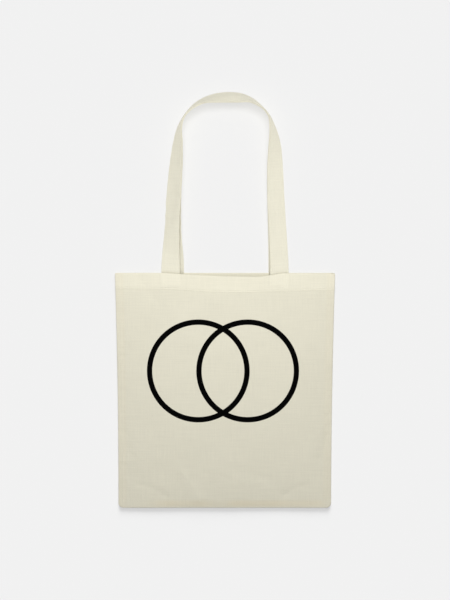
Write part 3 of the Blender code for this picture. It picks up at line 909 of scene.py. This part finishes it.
def strap_middle(which, shares):
    """Rows of points through the middle of one handle, and how far along it each row lies."""
    handles = bpy.context.scene.tote_handles
    width, thickness = handles.width, handles.thickness
    at, edge, inward, columns = strap_sections()
    front_roll, back_roll = np.radians(columns["front_roll"]), np.radians(columns["back_roll"])
    up = np.array([0.0, 0.0, 1.0])
    level = STRAP_GAP + thickness / 2 * np.cos(back_roll)
    if which == "front":
        roll, slide, start = front_roll, 0.0, edge
        level = level + (thickness + STRAP_GAP) * np.cos(front_roll)
    else:
        inset = np.where(edge[:, 0] < 0, handles.left_inset, handles.right_inset)
        roll, slide = back_roll, (inset * columns["inset"])[:, None]
        start = edge + inward * (np.sin(front_roll) * (thickness + STRAP_GAP))[:, None]
    start = start + up * level[:, None]
    steps = np.linspace(0, 1, BEND_STEPS + 1)
    bend = np.radians(columns["bend"])[:, None]
    turn = roll[:, None] + bend * np.tanh((BEND_AT - steps) / BEND_SOFTNESS)
    runs = []
    for wave in (np.cos, np.sin):
        run = cumulative(wave(turn), steps) * width
        run = np.array([np.interp(shares, steps, row) for row in run]) + wave(roll)[:, None] * slide
        runs.append(run[..., None])
    points = start[:, None, :] + inward[:, None, :] * runs[0] + up * runs[1]
    depth = 2 * LAYER_STEP + thickness / 2

    def held_in_wall(across, down):
        if which == "front":
            return under_front(across, front_mouth(across) - down, depth)
        height = np.full_like(across, BAG_HEIGHT - down)
        return np.stack([across, height, np.full_like(across, depth)], -1)

    lift = np.clip(columns["lift"], 0, 1)[:, None]
    points[..., 2] += (held_in_wall(points[..., 0], 0.0)[..., 2] - points[..., 2]) * lift
    tucks = []
    tucked = TUCKED_ROWS * handles.tuck
    for side in (-1, 1):
        across = side * (STRAP_ROOT - leg_inset(which, side) - width * np.asarray(shares))
        tucks.append(np.array([held_in_wall(across, down) for down in tucked[::side]]))
    lengths = np.concatenate([-tucked[::-1], at, at[-1] + tucked])
    return np.concatenate([tucks[0], points, tucks[1]]), lengths


def grid_normals(points):
    """Unit normals of a grid of points, by the directions of its rows and columns."""
    return unit(np.cross(np.gradient(points, axis=1), np.gradient(points, axis=0)))


def strap_wave(which, shares, lengths):
    """How far a strap waves out of its plane: gently all along, and more where its left leg is crumpled."""
    width = bpy.context.scene.tote_handles.width
    sway = gathers(lengths, STRAP_SWAY[which])[:, None] * np.cos(np.pi * shares)
    crumples = ripples(shares * width, lengths[:, None], STRAP_CRUMPLES)
    height = CRUMPLE_HEIGHT + LEFT_CRUMPLE_HEIGHT * bell(lengths - CRUMPLED_AT, CRUMPLED_REACH)
    return SWAY_HEIGHT * sway + height[:, None] * MM * crumples


def waved_strap(which, shares):
    """The waved middle of one handle, its normals, and how far along it each row lies."""
    middle, lengths = strap_middle(which, shares)
    normal = grid_normals(middle)
    return middle + normal * strap_wave(which, shares, lengths)[..., None], normal, lengths


def strap_profile():
    """Places across a strap, and half its thickness there, with a dent along each row of stitches."""
    handles = bpy.context.scene.tote_handles
    width, stitch, rounding = handles.width, handles.stitch_inset, handles.thickness / 2
    near = np.array(STRAP_PLACES) * MM
    places = np.concatenate([near, [width / 2], (width - near)[::-1]])
    from_edge = np.minimum(places, width - places)
    half = rounding * np.sqrt(1 - (1 - np.clip(from_edge / rounding, 0, 1)) ** 2)
    half -= dent(STRAP_DENT, from_edge - stitch)
    half -= STRAP_THINNING * smooth_step((from_edge - stitch) / (6 * MM))
    return places, np.maximum(half, 0)


def make_strap(which):
    """One handle as a folded and stitched strap."""
    width = bpy.context.scene.tote_handles.width
    places, half = strap_profile()
    middle, normal, lengths = waved_strap(which, places / width)
    rise = normal * half[None, :, None]
    loop = np.concatenate([middle + rise, (middle - rise)[:, -2:0:-1]], axis=1)
    faces = tube_faces(*loop.shape[:2])
    obj = new_object(f"{which}_strap", loop, faces, strap_material(), "tote_straps")
    around = np.concatenate([places, places[-2:0:-1]])
    lay_weave(obj, np.stack(np.broadcast_arrays(around[None, :], lengths[:, None]), -1))
    dress(obj, "cotton_strap", f"{which}_handle")


def thread_points(path, normals, thread):
    """Stitches along a path on a surface, as points and faces of small arched threads, and their weave."""
    travelled = np.concatenate([[0], np.cumsum(np.linalg.norm(np.diff(path, axis=0), axis=1))])
    pitch = thread.stitch + thread.gap
    count = max(int(round(travelled[-1] / pitch)), 1)
    pitch = travelled[-1] / count
    length = pitch * thread.stitch / (thread.stitch + thread.gap)
    starts = np.arange(count) * pitch + (pitch - length) / 2
    at = starts[:, None] + STITCH_AT[None, :] * length

    def read(values, places):
        return np.stack([np.interp(places, travelled, values[:, k]) for k in range(3)], -1)

    normal = unit(read(normals, at))
    aside = unit(np.cross(read(path, at + THREAD_STEP) - read(path, at - THREAD_STEP), normal))
    centre = read(path, at) + normal * (STITCH_HEIGHT * thread.radius)[None, :, None]
    turns = np.arange(THREAD_SIDES) * 2 * math.pi / THREAD_SIDES
    cos, sin = (wave(turns)[None, None, :, None] for wave in (np.cos, np.sin))
    ring = aside[:, :, None, :] * cos + normal[:, :, None, :] * sin
    points = centre[:, :, None, :] + ring * (STITCH_GIRTH * thread.radius)[None, :, None, None]
    one = tube_faces(len(STITCH_AT), THREAD_SIDES)
    per_stitch = len(STITCH_AT) * THREAD_SIDES
    faces = [[k + i * per_stitch for k in face] for i in range(count) for face in one]
    places = np.stack(np.broadcast_arrays(turns[None, None, :] * thread.radius, at[:, :, None]), -1)
    return points.reshape(-1, 3), faces, places.reshape(-1, 2)


def make_stitches(name, runs, slot, group="tote_pieces"):
    """One piece of all the stitches along several paths."""
    thread = bpy.context.scene.tote_thread
    points, faces, places = [], [], []
    total = 0
    for path, normals in runs:
        more_points, more_faces, more_places = thread_points(path, normals, thread)
        points.append(more_points)
        places.append(more_places)
        faces += [[k + total for k in face] for face in more_faces]
        total += len(more_points)
    obj = new_object(name, np.concatenate(points), faces, thread_material(), group)
    lay_weave(obj, np.concatenate(places))
    dress(obj, slot)


def skin_path(wall, across, up):
    """A stitching path on a wall's outer face, sunk a little into it, with its normals."""
    step, skin = 1 * MM, wall.skin
    slope_x = (skin(across + step, up) - skin(across - step, up)) / (2 * step)
    slope_y = (skin(across, up + step) - skin(across, up - step)) / (2 * step)
    normal = upward(slope_x, slope_y) * wall.sign
    return np.stack([across, up, skin(across, up)], -1) + normal * THREAD_SINK, normal


def hem_run(wall):
    """The path of the stitching along one hem."""
    reach = half_width(BAG_HEIGHT) - bpy.context.scene.tote_cloth.seam_allowance / 2
    across = np.linspace(-reach, reach, HEM_PATH_POINTS)
    return skin_path(wall, across, wall.hem_line(across) + HEM_STITCH_UP)


def box_runs(wall):
    """The paths of the stitching of both sewn boxes on a wall."""
    t = np.linspace(0, 1, BOX_PATH_POINTS)
    return [
        skin_path(wall, *(start[axis] + (end[axis] - start[axis]) * t for axis in (0, 1)))
        for start, end in box_lines(wall.which)
    ]


def strap_runs(which):
    """The paths of the stitching along both edges of one handle, on both of its faces."""
    handles = bpy.context.scene.tote_handles
    inset = handles.stitch_inset / handles.width
    middle, normal, _ = waved_strap(which, np.array([0.0, inset, 0.5, 1 - inset, 1.0]))
    half = handles.thickness / 2 - STRAP_DENT.depth
    outs = [(column, normal[:, column] * face) for column in (1, 3) for face in (1, -1)]
    return [(middle[:, column] + out * half, out) for column, out in outs]


def ring_band(centre):
    """One ring as a flat band with a few rows of faces across it."""
    rings = bpy.context.scene.tote_print
    turns = np.arange(RING_STEPS) * 2 * math.pi / RING_STEPS
    radii = rings.radius + rings.stroke * RING_ROWS
    profile = [(r, FILM_HEIGHT) for r in radii] + [(r, 0.0) for r in radii[::-1]]
    points = [
        (centre + r * math.cos(a), rings.above_base + r * math.sin(a), z) for a in turns for r, z in profile
    ]
    faces = grid_faces(RING_STEPS + 1, len(profile), closed=True) % len(points)
    return bare_object("ring_band", points, faces)


def make_ring_film():
    """The printed rings, joined where they cross and laid on the front's folds."""
    rings = bpy.context.scene.tote_print
    bands = [ring_band(rings.shift + side * rings.spacing / 2) for side in (-1, 1)]
    join = bands[0].modifiers.new("Join", "BOOLEAN")
    join.operation = "UNION"
    join.object = bands[1]
    bm = bmesh.new()
    bm.from_object(bands[0], bpy.context.evaluated_depsgraph_get())
    for band in bands:
        bpy.data.objects.remove(band)
    bmesh.ops.triangulate(bm, faces=bm.faces)
    flat = np.array([vert.co for vert in bm.verts])
    faces = [[vert.index for vert in face.verts] for face in bm.faces]
    bm.free()
    level = front_skin(flat[:, 0], flat[:, 1]) + flat[:, 2] - FILM_SINK
    obj = new_object("ring_film", np.column_stack([flat[:, :2], level]), faces, ink_material())
    lay_weave(obj, flat[:, :2])
    dress(obj, "black_print", "ring_print")


def make_allowance(name, along, seam_of, node):
    """One seam allowance between the panels: two raw layers of cloth, sewn together along their edge."""
    cloth = bpy.context.scene.tote_cloth
    across = np.linspace(0, 1, ALLOWANCE_COLUMNS)
    rows = []
    for distance, shift in zip(along, gathers(along, ALLOWANCE_GATHER)):
        width = cloth.seam_allowance - ALLOWANCE_TRIM + RAW_WANDER * shift
        inset = ALLOWANCE_START + across * width
        level = EDGE_HEIGHT / 2 + RAW_LIFT * shift * across**2
        rows.append(np.stack(np.broadcast_arrays(*seam_of(distance, inset), level), -1))
    points = np.array(rows)
    obj = new_object(name, points, grid_faces(*points.shape[:2]), cotton_material())
    lay_weave(obj, points[..., :2])
    add_thickness(obj, SEAM_HIGH.z - SEAM_LOW.z - ALLOWANCE_THINNING, 0)
    dress(obj, "natural_cotton", node)
class NodeBench:
    """Builds a material's node tree, one node after another."""

    def __init__(self, name, roughness, sheen=0.0, specular=0.2):
        self.material = bpy.data.materials.new(name)
        self.material.use_nodes = True
        self.tree = self.material.node_tree
        self.shader = self.tree.nodes["Principled BSDF"]
        self.shader.inputs["Roughness"].default_value = roughness
        self.shader.inputs["Sheen Weight"].default_value = sheen
        self.shader.inputs["Sheen Roughness"].default_value = 0.6
        self.shader.inputs["Specular IOR Level"].default_value = specular

    def node(self, kind, **settings):
        made = self.tree.nodes.new(kind)
        for key, value in settings.items():
            setattr(made, key, value)
        return made

    def plug(self, socket, value):
        if isinstance(value, bpy.types.NodeSocket):
            self.tree.links.new(value, socket)
        else:
            socket.default_value = value

    def made(self, kind, values, **settings):
        """A node with values plugged in by place or by name, and the first of its outputs."""
        node = self.node(kind, **settings)
        for key, value in values.items() if isinstance(values, dict) else enumerate(values):
            self.plug(node.inputs[key], value)
        return node.outputs[0]

    def math(self, operation, *values, clamp=False):
        return self.made("ShaderNodeMath", values, operation=operation, use_clamp=clamp)

    def vary(self, base, pattern, middle, share):
        """A base value with a share of a pattern added, as measured from the pattern's middle."""
        return self.math("MULTIPLY_ADD", self.math("SUBTRACT", pattern, middle), share, base)

    def noise(self, vector, scale, detail=2.0):
        return self.made("ShaderNodeTexNoise", {"Vector": vector, "Scale": scale, "Detail": detail})

    def combine(self, x, y, z=0.0):
        return self.made("ShaderNodeCombineXYZ", (x, y, z))

    def mix(self, kind, factor, a, b):
        made = self.node("ShaderNodeMix", data_type=kind)
        for name, value in (("Factor", factor), ("A", a), ("B", b)):
            self.plug(made.inputs[name], value)
        return made.outputs["Result"]

    def marked(self, name):
        """What the vertices are marked with under a name."""
        return self.node("ShaderNodeAttribute", attribute_name=name).outputs["Fac"]

    def weave_places(self):
        parts = self.node("ShaderNodeSeparateXYZ")
        self.plug(parts.inputs[0], self.node("ShaderNodeUVMap", uv_map="weave").outputs[0])
        return parts.outputs[0], parts.outputs[1]

    def weave(self, pitch):
        """A plain weave: its places, its height from 0 to 1, and the unevenness of its threads."""
        u, v = self.weave_places()
        place = self.combine(u, v)
        wander = self.math("MULTIPLY_ADD", self.noise(place, 140.0), 0.9 * pitch, -0.45 * pitch)
        warp, weft = (
            self.math("SINE", self.math("MULTIPLY", self.math(lean, along, wander), math.pi / pitch))
            for lean, along in (("ADD", u), ("SUBTRACT", v))
        )
        over = self.math("MULTIPLY_ADD", self.math("MULTIPLY", warp, weft), 2.0, 0.5, clamp=True)
        rounds = [self.math("ABSOLUTE", thread) for thread in (warp, weft)]
        warp_up, weft_up = (
            self.math("MULTIPLY", *(self.math("POWER", *pair) for pair in zip(rounds, powers)))
            for powers in ((0.5, 1.2), (1.2, 0.5))
        )
        slubs = []
        for u_scale, v_scale, apart in ((620.0, 26.0, 0.0), (22.0, 560.0, 7.0)):
            stretched = self.math("MULTIPLY", u, u_scale), self.math("MULTIPLY", v, v_scale)
            slubs.append(self.noise(self.combine(*stretched, apart), 1.0))
        return place, self.mix("FLOAT", over, weft_up, warp_up), self.math("ADD", *slubs)

    def bump(self, height, distance, strength=1.0, below=None):
        made = self.node("ShaderNodeBump")
        made.inputs["Strength"].default_value = strength
        made.inputs["Distance"].default_value = distance
        self.plug(made.inputs["Height"], height)
        if below is not None:
            self.plug(made.inputs["Normal"], below)
        return made.outputs[0]

    def finish(self, colour, brightness, relief=None):
        """Sends a colour, made brighter or darker by a pattern, and a relief to the shader."""
        made = self.node("ShaderNodeVectorMath", operation="SCALE")
        self.plug(made.inputs[0], colour)
        self.plug(made.inputs["Scale"], brightness)
        self.plug(self.shader.inputs["Base Color"], made.outputs[0])
        if relief is not None:
            self.plug(self.shader.inputs["Normal"], relief)
        return self.material


def cotton_cloth(name, colour, with_layers_and_shade):
    """Unbleached plain-woven cotton: uneven threads, painted shade in the gaps between them and a few seed
    flecks.
    """
    bench = NodeBench(name, roughness=0.92, sheen=0.08)
    place, height, slubs = bench.weave(bpy.context.scene.tote_finish.weave)
    brightness = bench.vary(0.98, slubs, 1.0, 0.09)
    brightness = bench.vary(brightness, bench.noise(place, 16.0, detail=3.0), 0.5, 0.05)
    # Painted shade: darker in the low gaps between the threads, lighter on their tops.
    brightness = bench.vary(brightness, height, 0.5, 0.10)
    cloth = (*colour, 1.0)
    if with_layers_and_shade:
        # Lighter where the cloth lies in more layers, and darker where shade is painted at the hem's fold and
        # inside the mouth.
        brightness = bench.math("MULTIPLY_ADD", bench.marked("layers"), 0.065, brightness)
        warm = (*(c * w for c, w in zip(colour, WARM_TINT)), 1.0)
        cloth = bench.mix("RGBA", bench.marked("warmth"), cloth, warm)
    flecks = bench.node("ShaderNodeTexVoronoi", feature="F1")
    bench.plug(flecks.inputs["Vector"], place)
    flecks.inputs["Scale"].default_value = 95.0
    near = bench.math("LESS_THAN", flecks.outputs["Distance"], 0.035)
    drawn = bench.made("ShaderNodeSeparateColor", (flecks.outputs["Color"],))
    chosen = bench.math("GREATER_THAN", drawn, 0.72)
    fleck = bench.math("MULTIPLY", bench.math("MULTIPLY", near, chosen), 0.55)
    flecked = bench.mix("RGBA", fleck, cloth, SEED_FLECK)
    fuzz = bench.bump(bench.noise(place, 2600.0), 0.04 * MM, 0.5)
    threads = bench.math("MULTIPLY_ADD", slubs, 0.5, height)
    return bench.finish(flecked, brightness, bench.bump(threads, 0.10 * MM, 0.8, fuzz))


def made_once(name):
    """Marks a function that makes a material: its name is used once, and the material is then shared."""
    def share(maker):
        return lambda: bpy.data.materials.get(name) or maker(name)
    return share


@made_once("tote_cotton")
def cotton_material(name):
    """The cloth of the panels."""
    return cotton_cloth(name, bpy.context.scene.tote_finish.cotton, with_layers_and_shade=True)


@made_once("tote_strap")
def strap_material(name):
    """The cloth of the handles."""
    return cotton_cloth(name, bpy.context.scene.tote_finish.strap, with_layers_and_shade=False)


@made_once("tote_thread")
def thread_material(name):
    """Twisted cotton thread, painted darker in the grooves of its twist as shade."""
    colour = (*bpy.context.scene.tote_finish.thread,)
    bench = NodeBench(name, roughness=0.8, sheen=0.1)
    u, v = bench.weave_places()
    lean = bench.math("MULTIPLY_ADD", u, 2600.0, bench.math("MULTIPLY", v, 5200.0))
    twist = bench.math("MULTIPLY_ADD", bench.math("SINE", lean), 0.5, 0.5)
    # Painted shade: darker in the twist's grooves, lighter on its ridges.
    brightness = bench.math("MULTIPLY_ADD", twist, 0.12, 0.92)
    return bench.finish(colour, brightness, bench.bump(twist, 0.05 * MM, 0.6))


@made_once("tote_ink")
def ink_material(name):
    """Matt black screen print, through which the weave still shows."""
    finish = bpy.context.scene.tote_finish
    bench = NodeBench(name, roughness=0.8)
    bench.shader.inputs["IOR"].default_value = 1.06
    _, height, slubs = bench.weave(finish.weave)
    brightness = bench.vary(1.0, slubs, 1.0, 0.9)
    return bench.finish((*finish.ink,), brightness, bench.bump(height, 0.05 * MM, 0.5))


@made_once("tote_table")
def floor_material(name):
    """A pale smooth table."""
    bench = NodeBench(name, roughness=0.95, specular=0.0)
    bench.shader.inputs["Emission Color"].default_value = (1.0, 1.0, 1.0, 1.0)
    bench.shader.inputs["Emission Strength"].default_value = bpy.context.scene.tote_stage.glow
    grain = bench.noise(bench.node("ShaderNodeTexCoord").outputs["Object"], 900.0)
    brightness = bench.math("MULTIPLY_ADD", grain, 0.004, 0.998)
    return bench.finish((*bpy.context.scene.tote_finish.floor,), brightness)


def direction_of(azimuth, elevation):
    """The direction towards a light."""
    a, e = math.radians(azimuth), math.radians(elevation)
    return Vector((math.cos(a) * math.cos(e), math.sin(a) * math.cos(e), math.sin(e)))


def add_light(light, place, towards_light, receivers):
    """Puts a light in the scene, turned so that it shines from its own side, on one group of objects."""
    obj = bpy.data.objects.new(light.name, light)
    obj.location = place
    obj.rotation_euler = towards_light.to_track_quat("Z", "Y").to_euler()
    bpy.context.scene.collection.objects.link(obj)
    obj.light_linking.receiver_collection = group_named(receivers)
    return obj


class TOTE_OT_panels(bpy.types.Operator):
    """Make the two cloth panels, each folded over into its hem at the mouth"""

    bl_idname = "tote.make_panels"
    bl_label = "Panels"

    def execute(self, context):
        make_panel(FRONT_WALL)
        make_panel(BACK_WALL)
        return {"FINISHED"}


class TOTE_OT_seams(bpy.types.Operator):
    """Make the seam allowances that lie between the panels"""

    bl_idname = "tote.make_seams"
    bl_label = "Seam Allowances"

    def execute(self, context):
        start = context.scene.tote_cloth.seam_allowance + ALLOWANCE_GAP
        up = np.linspace(start, BAG_HEIGHT - MOUTH_GAP, SIDE_ROWS)
        for name, side in (("left", -1), ("right", 1)):
            def place(rise, inset, side=side):
                return middle_line(rise) + side * (half_width(rise) - inset), rise
            make_allowance(f"{name}_allowance", up, place, f"{name}_seam")
        reach = float(half_width(0.0)) - start
        across = np.linspace(-reach, reach, BASE_ROWS)
        make_allowance("base_allowance", across, lambda x, inset: (x, inset), "bottom_seam")
        return {"FINISHED"}


class TOTE_OT_handles(bpy.types.Operator):
    """Make the two shoulder handles"""

    bl_idname = "tote.make_handles"
    bl_label = "Handles"

    def execute(self, context):
        make_strap("front")
        make_strap("back")
        return {"FINISHED"}


class TOTE_OT_stitching(bpy.types.Operator):
    """Sew the hems, the straps' edges and the boxes over the straps' ends"""

    bl_idname = "tote.make_stitching"
    bl_label = "Stitching"

    def execute(self, context):
        walls = (FRONT_WALL, BACK_WALL)
        make_stitches("hem_stitches", [hem_run(wall) for wall in walls], "natural_cotton")
        make_stitches("box_stitches", [run for wall in walls for run in box_runs(wall)], "natural_cotton")
        for which in ("front", "back"):
            make_stitches(f"{which}_strap_stitches", strap_runs(which), "cotton_strap", "tote_straps")
        return {"FINISHED"}


class TOTE_OT_print(bpy.types.Operator):
    """Print the overlapping rings on the front"""

    bl_idname = "tote.make_print"
    bl_label = "Print"

    def execute(self, context):
        make_ring_film()
        return {"FINISHED"}


class TOTE_OT_stage(bpy.types.Operator):
    """Set up the pale floor, the soft lights and the camera over the bag"""

    bl_idname = "tote.make_stage"
    bl_label = "Stage"

    def execute(self, context):
        scene = context.scene
        stage = scene.tote_stage
        corners = [(x * FLOOR_REACH, y * FLOOR_REACH, 0) for x, y in ((-1, -1), (1, -1), (1, 1), (-1, 1))]
        floor = bare_object("floor", corners, [(0, 1, 2, 3)])
        floor.data.materials.append(floor_material())
        floor.location.z = FLOOR_LEVEL
        world = bpy.data.worlds.new("soft_room")
        world.use_nodes = True
        backdrop = world.node_tree.nodes["Background"]
        backdrop.inputs["Color"].default_value = (1.0, 1.0, 1.0, 1.0)
        backdrop.inputs["Strength"].default_value = stage.room
        scene.world = world
        group_named("tote_table").objects.link(floor)
        body = group_named("tote_body")
        for name in ("front_cloth", "back_cloth"):
            body.objects.link(bpy.data.objects[name])
        soft_box = bpy.data.lights.new("soft_box", "AREA")
        soft_box.energy = stage.key_power
        soft_box.size = SOFT_BOX_SIZE
        add_light(soft_box, SOFT_BOX_PLACE, SOFT_BOX_PLACE, "tote_pieces")
        for sun in SUNS:
            light = bpy.data.lights.new(sun.name, "SUN")
            light.energy = getattr(stage, sun.name)
            light.angle = math.radians(sun.softness)
            lamp = add_light(light, SUN_PLACE, direction_of(sun.azimuth, sun.elevation), sun.receivers)
            if sun.name == "low_sky":
                lamp.light_linking.blocker_collection = body
        lens = bpy.data.cameras.new("camera")
        lens.sensor_fit = "HORIZONTAL"
        lens.sensor_width = SENSOR_WIDTH
        lens.lens = SENSOR_WIDTH * stage.distance / stage.frame_width
        camera = bpy.data.objects.new("camera", lens)
        camera.location = (0.0, CAMERA_Y, stage.distance)
        scene.collection.objects.link(camera)
        scene.camera = camera
        scene.view_settings.view_transform = "Standard"
        return {"FINISHED"}


class TOTE_PT_panel(bpy.types.Panel):
    """The tote bag's sizes, colours and steps"""

    bl_label = "Cotton Tote"
    bl_idname = "TOTE_PT_panel"
    bl_space_type = "VIEW_3D"
    bl_region_type = "UI"
    bl_category = "Tote"

    def draw(self, context):
        layout = self.layout
        for name in GROUPS:
            group = getattr(context.scene, name)
            box = layout.box()
            for key in group.bl_rna.properties.keys():
                if key not in ("rna_type", "name"):
                    box.prop(group, key)
        for operator in OPERATORS:
            layout.operator(operator.bl_idname)


GROUPS = {
    "tote_cloth": ToteCloth,
    "tote_handles": ToteHandles,
    "tote_thread": ToteThread,
    "tote_print": TotePrint,
    "tote_finish": ToteFinish,
    "tote_stage": ToteStage,
}
OPERATORS = (
    TOTE_OT_seams,
    TOTE_OT_panels,
    TOTE_OT_handles,
    TOTE_OT_stitching,
    TOTE_OT_print,
    TOTE_OT_stage,
)


def register():
    for name, group in GROUPS.items():
        bpy.utils.register_class(group)
        setattr(bpy.types.Scene, name, PointerProperty(type=group))
    for kind in (*OPERATORS, TOTE_PT_panel):
        bpy.utils.register_class(kind)


def unregister():
    for kind in (TOTE_PT_panel, *reversed(OPERATORS)):
        bpy.utils.unregister_class(kind)
    for name, group in reversed(GROUPS.items()):
        delattr(bpy.types.Scene, name)
        bpy.utils.unregister_class(group)


def main():
    register()
    bpy.ops.tote.make_seams()
    bpy.ops.tote.make_panels()
    bpy.ops.tote.make_handles()
    bpy.ops.tote.make_stitching()
    bpy.ops.tote.make_print()
    bpy.ops.tote.make_stage()


if __name__ == "__main__":
    main()
